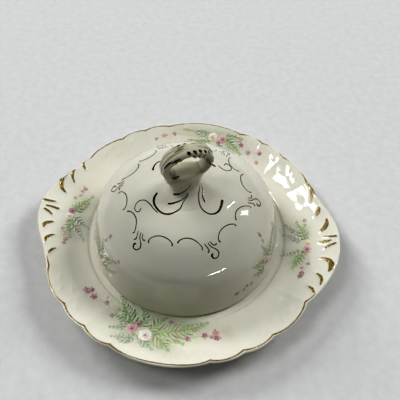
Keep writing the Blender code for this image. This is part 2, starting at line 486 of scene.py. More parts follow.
def print_material():
    """Transfer print under the glaze: soft uneven ink with the glaze's own gloss."""
    material, nodes, links, shader = new_material("printed_ink")
    uneven = ramp(nodes, links, noise(nodes, links, 1400.0, 3.0), ((0.30, 0.86), (0.65, 1.06)))
    links.new(multiplied(nodes, links, tint(nodes), uneven), shader.inputs["Base Color"])
    shader.inputs["Roughness"].default_value = 0.12
    shader.inputs["IOR"].default_value = 1.52
    bump(nodes, links, shader, noise(nodes, links, 130.0, 2.0), 0.00006)
    return material


def gold_material(name, dark, bright, roughness, metallic):
    """Brushed bright gold, worn thin: colour and gloss wander between bronze and gold."""
    material, nodes, links, shader = new_material(name)
    wear = ramp(nodes, links, noise(nodes, links, 260.0, 3.0, 0.5), ((0.32, dark), (0.62, bright)))
    links.new(multiplied(nodes, links, tint(nodes), wear), shader.inputs["Base Color"])
    rub = ramp(nodes, links, noise(nodes, links, 1100.0, 3.0), (
        (0.30, roughness - 0.07), (0.70, roughness + 0.12),
    ))
    links.new(rub, shader.inputs["Roughness"])
    shader.inputs["Metallic"].default_value = metallic
    bump(nodes, links, shader, noise(nodes, links, 700.0, 2.0), 0.000010)
    return material


# ---------------------------------------------------------------- underplate

def rim_radius(angle):
    """Outline of the underplate: scallops between notches, and the two tab handles."""
    degrees = np.degrees(angle) % 180.0
    from_tab = np.minimum(degrees, 180.0 - degrees)
    share = np.clip(from_tab / TAB_HALF_ANGLE, 0, 1)
    front_right = (np.cos(angle) > 0) & (np.sin(angle) < 0)
    crest = (0.5 + 0.5 * np.cos(np.pi * share)) ** np.where(front_right, FULL_TAB, SLIM_TAB)
    radius = PLATE_RADIUS - NOTCH_DEPTH + (TAB_REACH + NOTCH_DEPTH) * crest
    for start, end in zip(NOTCH_ANGLES, NOTCH_ANGLES[1:]):
        inside = (degrees >= start) & (degrees < end)
        bulge = np.sin(np.pi * np.clip((degrees - start) / (end - start), 0, 1)) ** 0.6
        depth = NOTCH_DEPTH if end - start > 15 else 0.8 * NOTCH_DEPTH
        radius = np.where(inside, PLATE_RADIUS - NOTCH_DEPTH + depth * bulge, radius)
    lobes = np.abs(np.sin(np.radians(from_tab) * 7.5 + 0.35))
    return radius + TAB_LOBE * (lobes - 0.7) * np.clip(1.15 - share, 0, 1)


# Gold strokes on the tab handles: x, y and width of each point, in millimetres from the plate's centre.
RIGHT_TAB_STROKES = (
    ((83, 46, 0.8), (88, 38, 1.6), (91, 33.5, 1.0)),
    ((86.5, 38.5, 0.6), (87.2, 33.5, 1.4), (86.5, 29.5, 0.9)),
    ((92.2, 24.5, 0.8), (91.8, 21, 2.0), (90, 17.5, 1.2)),
    ((97, 15, 0.9), (97, 11, 2.2), (95.4, 7.6, 2.3), (92.8, 5, 1.2)),
    ((94.5, 0.8, 0.7), (98.2, 0.4, 1.1), (103, 0.6, 1.2)),
    ((91.5, -3.5, 0.7), (95.2, -3.3, 1.4), (99.5, -2.5, 1.0)),
    ((94.8, -8.6, 0.8), (98.2, -6.5, 1.3), (102.4, -4.7, 0.9)),
    ((92, -16, 0.8), (95.8, -17.3, 2.2), (98.2, -20.2, 2.9), (97.6, -24, 2.2), (96, -27.2, 0.8)),
    ((89, -27.8, 0.8), (91.1, -30.4, 1.6), (91.4, -33.6, 1.5), (90.2, -37, 0.8)),
    ((83.3, -37.4, 0.8), (85.4, -39.6, 1.5), (86.6, -43, 0.9)),
)
LEFT_TAB_STROKES = (
    ((-84.3, 47, 0.5), (-85.5, 43, 0.9), (-84.8, 40.4, 1.4), (-83, 38, 1.1)),
    ((-90, 36, 0.8), (-90.9, 32.5, 1.5), (-90.2, 29, 1.4), (-87.8, 25, 0.8)),
    ((-93.8, 32, 0.9), (-96.2, 27.5, 2.0), (-96.6, 22.5, 2.4), (-94.8, 18, 1.8), (-91.5, 15.5, 0.9)),
    ((-104.5, 5.2, 1.1), (-100, 5.3, 1.5), (-95.4, 6, 0.8)),
    ((-101, 1, 0.8), (-96.2, 1.2, 1.2), (-91.8, 0.8, 1.5)),
    ((-101.5, -1.8, 0.9), (-98, -3, 1.4), (-94.8, -5, 0.8)),
    ((-92, -10.3, 0.8), (-94.6, -11.6, 1.8), (-96.9, -13.8, 2.1), (-96.6, -17, 0.9)),
    ((-88.3, -20.2, 0.7), (-90.8, -22.5, 1.7), (-92.2, -25.2, 1.7), (-91.5, -28, 0.8)),
    ((-83.8, -30.5, 0.7), (-85.9, -33, 1.5), (-86.8, -36, 0.8)),
)
# Moulded leaf dimples beside each tab, as (angle from the tab, radius, half length, lean).
MOULDED_LEAVES = ((36, 90.5, 3.2, 0.5), (43, 86.5, 2.8, 0.3), (41, 92.8, 2.6, 0.8), (51, 90.0, 2.8, 0.6))


def turned_strokes(strokes, angle):
    """Stroke points turned about the plate's centre by an angle in degrees."""
    c, s = math.cos(math.radians(angle)), math.sin(math.radians(angle))
    return [[(x * c - y * s, x * s + y * c, width) for x, y, width in stroke] for stroke in strokes]


DECORATION_TURN = 1.5       # degrees from the moulded tabs to the printed and gilded pattern
TAB_STROKES = turned_strokes(RIGHT_TAB_STROKES + LEFT_TAB_STROKES, DECORATION_TURN)


def plate_relief(places):
    """Height of the moulded scrolls and leaves over (x, y) places near the rim."""
    height = np.zeros(len(places))
    near_rim = np.hypot(*places.T) > 78
    rim_places = places[near_rim]
    raised = np.zeros(len(rim_places))
    for stroke in TAB_STROKES:
        path = smooth_path(stroke, 0.8)
        distance, share = path_distance(rim_places, path[:, :2])
        width = np.interp(share, np.linspace(0, 1, len(path)), path[:, 2])
        raised = np.maximum(raised, 0.42 * np.exp(-(distance / (0.75 * width + 0.45)) ** 2))
    angle = np.degrees(np.arctan2(rim_places[:, 1], rim_places[:, 0]))
    from_tab = np.minimum(np.abs(angle), 180 - np.abs(angle))
    radius = np.hypot(*rim_places.T)
    for leaf_angle, leaf_radius, half_length, lean in MOULDED_LEAVES:
        along = np.radians(from_tab - leaf_angle) * radius
        outward = radius - leaf_radius
        u = along * math.cos(lean) + outward * math.sin(lean)
        v = outward * math.cos(lean) - along * math.sin(lean)
        raised += 0.30 * np.exp(-(u / half_length) ** 2 - (v / 1.3) ** 2)
    flutes = np.cos(np.radians(from_tab) * 15.0 + 0.7)
    fade = np.clip((radius - 90) / 10, 0, 1) * np.clip(1.3 - from_tab / 24, 0, 1)
    height[near_rim] = raised + 0.22 * flutes * fade
    return height


def plate_profile():
    """(radius, height) from the centre of the well out over the rim and in along the underside."""
    well = [(radius, FLOOR_HEIGHT) for radius in (8, 24, 40, 52, 60, 64.5)]
    slope = [
        (66.8, FLOOR_HEIGHT), (68.6, FLOOR_HEIGHT + 0.12), (69.8, FLOOR_HEIGHT + 0.95),
        (71.6, FLOOR_HEIGHT + 1.55), (76, FLOOR_HEIGHT + 2.7), (80, 11.0), (85, 12.9),
        (90, 14.8), (93.5, 16.2), (PLATE_RADIUS - 1.6, RIM_HEIGHT - 0.15),
    ]
    edge = [
        (PLATE_RADIUS - 1.6, RIM_HEIGHT - 0.15), (PLATE_RADIUS - 0.7, RIM_HEIGHT),
        (PLATE_RADIUS - 0.1, RIM_HEIGHT - 0.45), (PLATE_RADIUS, RIM_HEIGHT - 1.3),
        (PLATE_RADIUS - 0.4, RIM_HEIGHT - 2.3), (PLATE_RADIUS - 1.6, RIM_HEIGHT - 3.2),
    ]
    under = [
        (PLATE_RADIUS - 1.6, RIM_HEIGHT - 3.2), (90, 11.3), (80, 7.1), (70, 3.7),
        (FOOT_OUTER + 2.2, 2.9), (FOOT_OUTER + 0.7, 2.2), (FOOT_OUTER, 0.5), (FOOT_OUTER - 0.7, 0.0),
        (FOOT_INNER + 0.7, 0.0), (FOOT_INNER, 0.5), (FOOT_INNER - 0.8, 2.2), (FOOT_INNER - 2.4, 2.8),
        (30, 2.8), (6, 2.8),
    ]
    return np.vstack([
        well, smooth_path(slope, 0.5)[:-1], smooth_path(edge, 0.45)[:-1], smooth_path(under, 2.1),
    ])


def wash(colours, places, middle, reach, turn, colour, strength):
    """Tint the places inside a soft oval with a thin wash of colour."""
    c, s = math.cos(turn), math.sin(turn)
    x, y = places[:, 0] - middle[0], places[:, 1] - middle[1]
    u, v = (x * c + y * s) / reach[0], (y * c - x * s) / reach[1]
    amount = strength * np.exp(-(u * u + v * v) ** 1.3)
    streaks = np.sin(0.9 * x + 0.7 * y + 2 * np.sin(0.6 * y))
    streaks = streaks * np.sin(0.8 * y - 0.5 * x + 2 * np.sin(0.5 * x))
    amount = (amount * (0.8 + 0.25 * streaks))[:, None]
    colours[:] = colours * (1 - amount) + np.array(colour) * amount


# Soft washes of colour under the printed sprays: middle, reach, turn in degrees, colour, strength.
PLATE_WASHES = (
    ((-27, -66), (14, 9), 120, GREEN, 0.55),
    ((-16, -70), (12, 8), 20, GREEN, 0.45),
    ((-27, -79), (9, 7), 10, BLUE_GREEN, 0.40),
    ((6, -75), (20, 9), 14, YELLOW_GREEN, 0.66),
    ((-3, -83), (12, 7), -35, GREEN, 0.52),
    ((-13, -86), (11, 4), -8, BLUE_GREEN, 0.36),
    ((12, -89.5), (21, 4), 4, MAUVE, 0.20),
    ((28, -75), (9, 5), 20, BLUSH, 0.42),
    ((35, -73), (5, 5), 0, GREEN, 0.20),
    ((-47, -61), (14, 7), -35, MAUVE, 0.18),
    ((-37, -70), (7, 6), 0, BLUE_GREEN, 0.26),
    ((10, 87.5), (20, 6), -4, GREEN, 0.42),
    ((-14, 90), (11, 4), 8, OCHRE, 0.30),
    ((25, 81), (11, 8), -40, GREEN, 0.42),
    ((40, 76), (13, 6), -30, MAUVE, 0.24),
    ((-78, 9), (11, 6.5), 65, GREEN, 0.48),
    ((-76, -5), (10, 6), 20, GREY_BLUE, 0.52),
    ((-81, -13), (10, 5.5), 75, GREEN, 0.42),
    ((-73, -15), (8, 6), 30, GREY_BLUE, 0.46),
    ((-82, 20), (7, 4), 70, MAUVE, 0.20),
    ((81, 6), (10, 6), 110, GREEN, 0.50),
    ((78, -16), (10, 6), 60, GREEN, 0.50),
    ((72, 5), (8, 8), 30, GREY_BLUE, 0.46),
    ((70, -12), (6, 5), 0, GREY_BLUE, 0.36),
    ((83, -22), (8, 4), 80, MAUVE, 0.16),
)
PLATE_COLUMNS = 800


def turned_place(place, angle=DECORATION_TURN):
    c, s = math.cos(math.radians(angle)), math.sin(math.radians(angle))
    return place[0] * c - place[1] * s, place[0] * s + place[1] * c


def make_plate(glaze):
    """The plate is turned from its profile and its rim pressed out to the scalloped outline."""
    profile = plate_profile()
    top_rows = int(np.argmax(profile[:, 1]))
    angle = np.linspace(0, math.tau, PLATE_COLUMNS, endpoint=False)
    rim = rim_radius(angle)
    radius, height = profile[:, 0:1], profile[:, 1:2]
    share = np.clip((radius - WELL_RADIUS) / (PLATE_RADIUS - WELL_RADIUS), 0, 1)
    pressed = np.where(radius > WELL_RADIUS, WELL_RADIUS + share * (rim - WELL_RADIUS), radius)
    beyond = np.clip(rim - PLATE_RADIUS, 0, None) / TAB_REACH
    height = height + TAB_RISE * beyond * share ** 2
    points = np.stack([pressed * np.cos(angle), pressed * np.sin(angle), height], axis=2)
    fade = np.ones(len(profile))
    fade[top_rows:] = np.clip(1 - np.arange(len(profile) - top_rows) / 5, 0, 1)
    relief = plate_relief(points[:, :, :2].reshape(-1, 2)).reshape(pressed.shape)
    points[:, :, 2] += relief * fade[:, None]
    flat = points.reshape(-1, 3)
    flat[:, 2] += wobble(flat, 0.05) * (flat[:, 2] > 4)
    poles = np.array([[0, 0, FLOOR_HEIGHT], [0, 0, profile[-1, 1]]])
    flat = np.vstack([poles[:1], flat, poles[1:]])
    colours = np.tile(np.array(GLAZE), (len(flat), 1))
    top = np.arange(len(flat)) < 1 + top_rows * PLATE_COLUMNS
    painted = colours[top]
    for middle, reach, turn, colour, strength in PLATE_WASHES:
        wash(painted, flat[top, :2], turned_place(middle), reach, math.radians(turn + DECORATION_TURN),
             colour, strength)
    colours[top] = painted
    worn_foot = flat[:, 2] < 0.3
    colours[worn_foot] = BARE_FOOT
    plate = build_mesh("plate_glazed", flat, revolved_faces(len(profile), PLATE_COLUMNS), colours, glaze)
    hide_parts("underplate")
    return finish_piece(plate, "plate")


# Stretches of the rim that still carry their gold: middle and half length, in degrees.
RIM_GOLD_LEFT = ((270, 66), (125, 27), (88, 12), (72, 5), (60, 5), (47, 4), (31, 6))


def make_rim_gold(skin, gold):
    """The gold line just inside the rolled edge, worn thin in places."""
    heap = Heap()
    count = 1080
    angle = np.linspace(0, math.tau, count, endpoint=False)
    reach = rim_radius(angle)
    degrees = np.degrees(angle)
    from_notch = np.min([np.abs((degrees % 180.0) - notch) for notch in NOTCH_ANGLES], axis=0)
    width = 0.66 + 0.4 * np.exp(-(from_notch / NOTCH_REACH) ** 2)
    width += 0.16 * np.sin(angle * 23) * np.cos(angle * 7)
    left = np.max([
        np.clip((half - np.abs(degrees - middle)) / 3, 0, 1) for middle, half in RIM_GOLD_LEFT
    ], axis=0)
    width = width * left
    inset = 1.1 + 0.25 * np.sin(angle * 11) + 0.4 * np.exp(-(from_notch / NOTCH_REACH) ** 2)
    places = np.array([
        skin.drop(*((r - i) * np.array([math.cos(a), math.sin(a)])))
        for r, i, a in zip(reach, inset, angle)
    ])
    sides = 5
    points = []
    for index, place in enumerate(places):
        lift = 0.03 if left[index] > 0.02 else -0.15
        tangent = places[(index + 1) % count] - places[index - 1]
        points += ribbon_section(skin, place, tangent, max(width[index], 0.02), sides, lift, 0.05, 0.08)
    heap.add(points, swept_faces(count, sides + 2, closed=True, flipped=True), [WHITE] * len(points))
    return finish_piece(heap.build("rim_gold_line", gold), "plate")


def make_tab_gold(name, strokes, skin, gold):
    """Brushed strokes over the moulded scrolls of one tab handle."""
    heap = Heap()
    for stroke in strokes:
        path = smooth_path(stroke, 0.35)
        centre = [skin.drop(x, y) for x, y, _ in path]
        lay_ribbon(heap, skin, centre, 1.3 * path[:, 2], WHITE, rise=0.06, sides=7)
    return finish_piece(heap.build(name, gold), "plate")


# ---------------------------------------------------------------- printed sprays

def lay_frond(heap, skin, at, route, length, chance, near, far, spacing=2.3, bare=0.06):
    """A fern frond: a fine stalk with pairs of curved leaflets, longest in its lower half."""
    path = smooth_path(route, 0.5)
    along = travelled(path)
    total = along[-1]
    lay_ribbon(heap, skin, [at(x, y) for x, y in path], np.interp(along, [0, total], [0.5, 0.25]),
               blended(near, DEEP_GREEN, 0.3), rise=0.0, lift=0.05, sides=3, tip_colour=far)
    place = bare * total
    while place < total:
        share = place / total
        x, y = (np.interp(place, along, column) for column in path.T)
        ahead = np.array([np.interp(min(place + 1, total), along, column) for column in path.T])
        behind = np.array([np.interp(max(place - 1, 0), along, column) for column in path.T])
        heading = math.atan2(*(ahead - behind)[::-1])
        reach = length * (0.62 + 0.38 * math.sin(math.pi * min(1, 0.3 + share))) * (1 - share ** 3)
        reach = max(1.6, reach) * (0.82 + 0.36 * chance.random())
        for side in (1, -1):
            lean = math.radians(70 - 26 * share + 12 * (chance.random() - 0.5))
            curl = side * math.radians(-16)
            leaf = []
            for step in np.linspace(0, 1, 6):
                turn = heading + side * lean + curl * step
                leaf.append((x + reach * step * math.cos(turn), y + reach * step * math.sin(turn)))
            leaf = smooth_path(leaf, 0.7)
            broad = (1.35 + 0.21 * length) * (0.6 + 0.4 * reach / length)
            width = broad * np.sin(np.pi * np.linspace(0.16, 0.97, len(leaf))) ** 0.7
            base = varied(blended(blended(near, far, share), GLAZE, 0.26), 0.10, chance)
            tip = varied(blended(base, GLAZE, 0.50), 0.06, chance)
            lay_ribbon(heap, skin, [at(*spot) for spot in leaf], width, base, rise=0.0,
                       lift=0.02 + 0.008 * chance.random(), sides=3, tip_colour=tip)
        place += spacing * (0.8 + 0.4 * (1 - share))


def lay_rose(heap, skin, at, place, radius, chance, heart, petal, edge):
    """An open printed rose: rings of overlapping petals round a dark heart."""
    x, y = place
    rings = ((6, 0.62, 0.50, 0.42), (5, 0.36, 0.42, 0.34), (3, 0.15, 0.28, 0.22))
    for level, (count, offset, length, width) in enumerate(rings):
        start = chance.random() * math.tau
        for index in range(count):
            turn = start + math.tau * index / count
            spot = (x + offset * radius * math.cos(turn), y + offset * radius * math.sin(turn))
            outer = varied(blended(edge, petal, 0.12 * level), 0.08, chance)
            inner = varied(blended(petal, heart, 0.30 + 0.30 * level), 0.14, chance)
            lay_blob(heap, skin, at, spot, length * radius * 0.75, width * radius * 1.25, turn,
                     inner, outer, 0.06 + 0.022 * level + 0.002 * index, wave=0.06)
            if level < 2:
                fold = radius * (offset - 0.24)
                shade = smooth_path([
                    (x + fold * math.cos(turn + d), y + fold * math.sin(turn + d))
                    for d in (-0.42, -0.2, 0.0, 0.2, 0.42)
                ], 0.4)
                lay_ribbon(heap, skin, [at(*spot) for spot in shade], np.full(len(shade), 0.13 * radius),
                           blended(heart, petal, 0.20), rise=0.0, lift=0.085 + 0.022 * level, sides=3)
    lay_blob(heap, skin, at, place, 0.27 * radius, 0.2 * radius, 0.6, heart, heart, 0.14)


def lay_bud(heap, skin, at, place, radius, chance, colour):
    """A small flower of four uneven petals with a dark eye, on a scrap of green."""
    x, y = place
    turn = chance.random() * math.tau
    green = varied(BLUE_GREEN, 0.15, chance)
    base = (x - radius * math.cos(turn), y - radius * math.sin(turn))
    lay_blob(heap, skin, at, base, 0.7 * radius, 0.4 * radius, turn,
             green, blended(green, CREAM, 0.4), 0.04)
    for index in range(4):
        way = turn + (index - 1.5) * 1.35
        spot = (x + 0.5 * radius * math.cos(way), y + 0.5 * radius * math.sin(way))
        outer = varied(blended(colour, BLUSH, 0.45 + 0.4 * chance.random()), 0.10, chance)
        lay_blob(heap, skin, at, spot, 0.74 * radius, 0.56 * radius, way,
                 varied(blended(colour, MAGENTA, 0.12), 0.2, chance), outer, 0.05 + 0.01 * index)
    lay_blob(heap, skin, at, place, 0.24 * radius, 0.2 * radius, turn,
             varied(blended(colour, DUSK, 0.5), 0.2, chance), colour, 0.10)


def lay_stem(heap, skin, at, route, colour, width=0.28):
    path = smooth_path(route, 0.8)
    lay_ribbon(heap, skin, [at(x, y) for x, y in path], np.full(len(path), width), colour,
               rise=0.0, lift=0.035, sides=3)


def print_spray(name, spray, skin, places, ink, seed, body):
    """One transfer-printed spray, its ferns and its flowers as two pieces, at each of the places."""
    fronds, stems, roses, buds = spray
    chance = random.Random(seed)
    ferns, flowers = Heap(), Heap()
    for at in places:
        for route, length, near, far in fronds:
            lay_frond(ferns, skin, at, route, length, chance, near, far)
        for route in stems:
            lay_stem(ferns, skin, at, route, PALE_STEM)
        for place, radius, heart, petal, edge in roses:
            lay_rose(flowers, skin, at, place, radius, chance, heart, petal, edge)
        for place, radius, colour in buds:
            lay_bud(flowers, skin, at, place, radius, chance, colour)
    finish_piece(ferns.build(name + "_ferns", ink), body)
    finish_piece(flowers.build(name + "_flowers", ink), body)


FRONT_FRONDS = (
    (((-22, -83), (-27, -84), (-33, -84)), 4.0, BLUE_GREEN, GREY_BLUE),
    (((-19, -80), (-22, -84), (-25, -88)), 4.5, BLUE_GREEN, GREY_BLUE),
    (((-16, -82), (-12, -85), (-7, -89)), 4.5, BLUE_GREEN, BLUE_GREEN),
    (((-22, -75), (-28, -66), (-34, -56)), 7.5, DEEP_GREEN, GREEN),
    (((-23, -75), (-28, -72), (-35, -69)), 4.5, DEEP_GREEN, BLUE_GREEN),
    (((-18, -74), (-16, -69), (-19, -62)), 6.0, GREEN, DEEP_GREEN),
    (((-12, -76), (-8, -71), (-3, -66)), 5.5, GREEN, YELLOW_GREEN),
    (((-25, -76), (-30, -77.5), (-35, -78)), 3.2, BLUE_GREEN, BLUE_GREEN),
    (((-10, -78), (-4, -82), (3, -89)), 7.0, GREEN, YELLOW_GREEN),
    (((-10, -77), (0, -79), (11, -83)), 5.5, YELLOW_GREEN, GREEN),
    (((-10, -77), (2, -75.5), (13, -72), (24, -66)), 8.5, YELLOW_GREEN, YELLOW_GREEN),
)
FRONT_STEMS = (
    ((-30, -71), (-40, -64), (-56, -55.5)),
    ((-44, -62), (-48, -62), (-51, -59.5)),
    ((10, -76), (19, -76.5), (29, -75)),
    ((12, -79), (19, -76.5)),
)
FRONT_ROSES = (
    ((-22.5, -77), 3.5, MAGENTA, PINK, BLUSH),
    ((-19.2, -73.4), 2.3, MAGENTA, MAUVE, PINK),
    ((-13.6, -80), 4.0, MAUVE, CREAM, PALE_PETAL),
)
FRONT_BUDS = (
    ((-57, -55.5), 1.9, MAUVE), ((-53.5, -55), 1.6, MAGENTA), ((-51, -59.5), 1.8, MAGENTA),
    ((-55.2, -57.2), 1.2, MAUVE), ((-42, -62), 1.5, MAUVE), ((-43, -58), 1.0, BLUSH),
    ((-33.5, -65.5), 1.2, PINK), ((-36.5, -70), 1.4, PINK), ((0.5, -69), 1.6, MAUVE),
    ((12, -79), 1.6, MAGENTA), ((22, -75.5), 1.7, MAGENTA), ((28.5, -73.5), 2.0, PINK),
    ((29.5, -76.5), 1.8, MAGENTA), ((26.3, -76.3), 1.3, MAUVE),
)
BACK_FRONDS = (
    (((20, 85), (26, 80), (33, 73)), 5.0, GREEN, YELLOW_GREEN),
    (((8, 88), (-2, 90), (-14, 91)), 4.0, BLUE_GREEN, GREY_BLUE),
    (((20, 88), (27, 87), (34, 85)), 3.4, BLUE_GREEN, GREEN),
    (((8, 83), (-1, 82), (-10, 83)), 4.5, GREEN, YELLOW_GREEN),
    (((14, 81), (17, 76), (22, 72)), 4.0, DEEP_GREEN, GREEN),
)
BACK_STEMS = (((26, 84), (36, 78), (48, 72)), ((-4, 86), (-20, 86), (-34, 82)))
BACK_ROSES = (
    ((9.3, 86.5), 3.8, OCHRE, CREAM, PALE_PETAL),
    ((17.6, 85), 3.4, MAGENTA, PINK, BLUSH),
    ((14.4, 82.4), 2.0, MAGENTA, MAUVE, PINK),
)
BACK_BUDS = (
    ((33, 80.5), 1.8, MAGENTA), ((31, 84), 1.4, PINK), ((39, 74), 1.7, MAUVE), ((48, 73), 1.5, MAGENTA),
    ((46, 66), 1.4, PINK), ((-22, 86), 1.5, MAUVE), ((-30, 83), 1.6, PINK), ((-36, 79), 1.3, MAUVE),
)
LEFT_FRONDS = (
    (((-82, 3), (-78, 10), (-73, 18)), 5.2, GREEN, YELLOW_GREEN),
    (((-83, -4), (-82, -11), (-79, -19)), 4.4, GREEN, YELLOW_GREEN),
    (((-81, -2), (-76, -5), (-69, -9)), 3.6, GREY_BLUE, GREY_BLUE),
    (((-80, -8), (-75, -13), (-70, -19)), 3.6, GREY_BLUE, GREY_BLUE),
)
LEFT_STEMS = (((-83, 6), (-84, 13), (-80, 23)), ((-84, -6), (-85, -13), (-81, -24)))
LEFT_ROSES = (
    ((-83.6, 2.6), 2.6, MAGENTA, MAUVE, PINK),
    ((-84, -2.4), 2.7, MAUVE, CREAM, PALE_PETAL),
)
LEFT_BUDS = (
    ((-79.5, 23), 1.5, MAUVE), ((-81, 20.3), 1.2, MAUVE), ((-81.4, 17), 1.1, GREY_BLUE),
    ((-84.5, 13.5), 1.1, MAUVE), ((-85.5, -13.5), 1.1, MAUVE), ((-83, -17), 1.2, PINK),
    ((-81, -21.5), 1.5, MAUVE), ((-81.2, -24.6), 1.3, MAUVE),
)
RIGHT_FRONDS = (
    (((83, -1), (81, 6), (77, 15)), 4.8, GREEN, YELLOW_GREEN),
    (((82, -9), (79, -16), (74, -24)), 5.0, GREEN, YELLOW_GREEN),
    (((80, -2), (75, 1), (69, 4)), 3.4, GREY_BLUE, GREY_BLUE),
    (((79, 5), (74, 8), (69, 12)), 3.2, GREY_BLUE, GREY_BLUE),
    (((80, -9), (74, -12), (68, -13)), 3.2, GREY_BLUE, GREY_BLUE),
)
RIGHT_STEMS = (((84, 2), (84, 9), (82, 16)), ((84, -11), (84.5, -19), (79.5, -29)))
RIGHT_ROSES = (
    ((84.5, -4), 2.4, OCHRE, BLUSH, CREAM),
    ((84, -8.6), 2.9, MAGENTA, PINK, BLUSH),
)
RIGHT_BUDS = (
    ((82.5, 15), 1.3, MAUVE), ((83, 11), 1.0, MAUVE), ((84.5, -20), 1.2, MAUVE),
    ((80.3, -23), 1.3, PINK), ((80, -27), 1.5, MAGENTA), ((79, -29.5), 1.5, MAGENTA),
)
PLATE_SPRAYS = {
    "front_spray": (FRONT_FRONDS, FRONT_STEMS, FRONT_ROSES, FRONT_BUDS),
    "back_spray": (BACK_FRONDS, BACK_STEMS, BACK_ROSES, BACK_BUDS),
    "left_spray": (LEFT_FRONDS, LEFT_STEMS, LEFT_ROSES, LEFT_BUDS),
    "right_spray": (RIGHT_FRONDS, RIGHT_STEMS, RIGHT_ROSES, RIGHT_BUDS),
}
# The spray on the side of the cover: millimetres along its girth, and heights.
COVER_SPRAY = (
    (
        (((-2, 22), (-7, 26), (-13, 29)), 5.6, GREEN, YELLOW_GREEN),
        (((-3, 19), (-9, 20), (-14, 22)), 4.6, GREEN, YELLOW_GREEN),
        (((3, 22), (9, 27), (15, 33)), 4.6, GREY_BLUE, GREEN),
        (((1, 24), (1, 30), (-1, 37)), 4.0, BLUE_GREEN, GREY_BLUE),
        (((3, 20), (10, 20), (18, 24)), 3.6, GREEN, GREY_BLUE),
    ),
    (((-6, 20), (-15, 17), (-29, 17)), ((0, 26), (0, 33), (3, 42)), ((5, 24), (14, 30), (20, 36))),
    (((0, 21), 2.6, MAGENTA, PINK, BLUSH), ((4, 18.5), 2.4, MAUVE, CREAM, BLUSH)),
    (
        ((-16.5, 17.2), 1.2, DUSK), ((-20, 18.4), 1.1, DUSK), ((-22.5, 17.0), 1.2, MAUVE),
        ((-28, 17.4), 1.5, DUSK), ((3, 41.5), 1.3, DUSK), ((2.2, 38.5), 1.1, MAUVE),
        ((19, 36), 1.2, MAUVE), ((17, 33), 1.0, DUSK),
    ),
)
COVER_SPRAY_ANGLES = (-23.5, -143.5, 96.5)
COVER_GIRTH = 60.0          # radius on which the spray's millimetres are measured


def on_plate(skin):
    return lambda x, y: skin.drop(*turned_place((x, y)))


def on_cover_side(skin, middle):
    return lambda x, y: skin.press(middle + math.degrees(x / COVER_GIRTH), y)


# ---------------------------------------------------------------- cover

COVER_OUTSIDE = (
    (4, 57.35), (12.6, 57.2), (24, 56.2), (35.4, 53.4), (43.8, 48.9), (52.2, 42.2),
    (56.6, 37.4), (58.6, 32.6), (59.5, 28.8), (60.6, 25.0), (62.6, 17.6), (65, 9.6),
)
COVER_COLUMNS = 420


def make_cover(glaze):
    """The dome is one shell with a rounded lip, a little uneven from the mould."""
    outside = smooth_path(COVER_OUTSIDE, 1.1)
    run = np.gradient(outside, axis=0)
    run /= np.linalg.norm(run, axis=1)[:, None]
    inner_face = outside + COVER_WALL * np.stack([run[:, 1], -run[:, 0]], axis=1)
    inner_face = inner_face[(inner_face[:, 0] > 4) & (inner_face[:, 1] > COVER_SEAT + 1.5)][::-1]
    lip = smooth_path([
        outside[-1], (COVER_RADIUS - 0.1, COVER_SEAT + 1.0), (COVER_RADIUS - 0.9, COVER_SEAT + 0.05),
        (COVER_RADIUS - 2.2, COVER_SEAT), (COVER_RADIUS - 3.3, COVER_SEAT + 0.4), inner_face[0],
    ], 0.5)
    profile = np.vstack([outside[:-1], lip[:-1], inner_face])
    angle = np.linspace(0, math.tau, COVER_COLUMNS, endpoint=False)
    radius, height = profile[:, 0:1], profile[:, 1:2]
    points = np.stack([
        radius * np.cos(angle), radius * np.sin(angle), np.repeat(height, COVER_COLUMNS, axis=1),
    ], axis=2).reshape(-1, 3)
    bulge = 1 + wobble(points, 0.0006, 1.3)
    points[:, 0] *= bulge
    points[:, 1] *= bulge
    points[:, 2] += wobble(points, 0.03, 0.4) * (points[:, 2] > 20)
    crown = [0, 0, profile[0, 1]]
    ceiling = [0, 0, profile[-1, 1]]
    points = np.vstack([[crown], points, [ceiling]])
    # the dome takes the darker copy of the glaze, painted shade
    colours = np.tile(np.array(SHADED_COVER_GLAZE), (len(points), 1))
    unglazed = points[:, 2] < COVER_SEAT + 0.25
    colours[unglazed] = BARE_LIP
    cover = build_mesh("cover_dome", points, revolved_faces(len(profile), COVER_COLUMNS), colours, glaze)
    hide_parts("cover")
    return finish_piece(cover, "lid")


# One cluster of the stencilled ring: across, outward and width of each point, from its own middle.
RING_MIDDLE = 42.0
RING_REPEATS = 6
RING_CLUSTER = (
    ((-0.5, -2.5, 0.35), (-0.3, -1.2, 0.4), (0.5, 0.2, 0.45), (1.9, 1.3, 0.45), (3.3, 2.5, 0.5),
     (3.9, 4.0, 0.5), (2.9, 5.6, 0.5), (1.2, 6.1, 0.5), (-0.2, 5.6, 0.7), (-0.6, 4.6, 0.95),
     (-0.3, 3.9, 0.8), (0.7, 3.6, 0.45)),
    ((-2.7, -2.3, 0.35), (-2.3, -1.2, 0.4), (-1.6, 0.4, 0.45), (-1.3, 1.6, 0.5), (-1.7, 2.2, 0.6),
     (-2.4, 2.5, 0.85)),
    ((1.1, -2.5, 0.35), (1.3, -1.4, 0.4), (2.0, -0.4, 0.45), (2.9, 0.0, 0.45), (3.8, -0.2, 0.6),
     (4.3, -0.6, 0.85)),
)
# The two arcs between one cluster and the next, in the cover's own frame.
RING_ARCS = (
    ((6.9, -41.6, 0.85), (6.2, -40.6, 0.5), (6.4, -38.9, 0.4), (8.1, -36.6, 0.42), (10.5, -34.9, 0.45),
     (13.4, -33.9, 0.48), (16.6, -33.6, 0.45), (18.9, -34.2, 0.5), (19.5, -35.3, 0.85)),
    ((-17.3, -34.3, 0.85), (-16, -33.5, 0.5), (-13.5, -33.2, 0.45), (-10.5, -34, 0.48), (-8, -35.7, 0.45),
     (-6, -38.2, 0.42), (-4.6, -41, 0.4), (-4.8, -41.9, 0.5), (-5.3, -42.3, 0.85)),
)
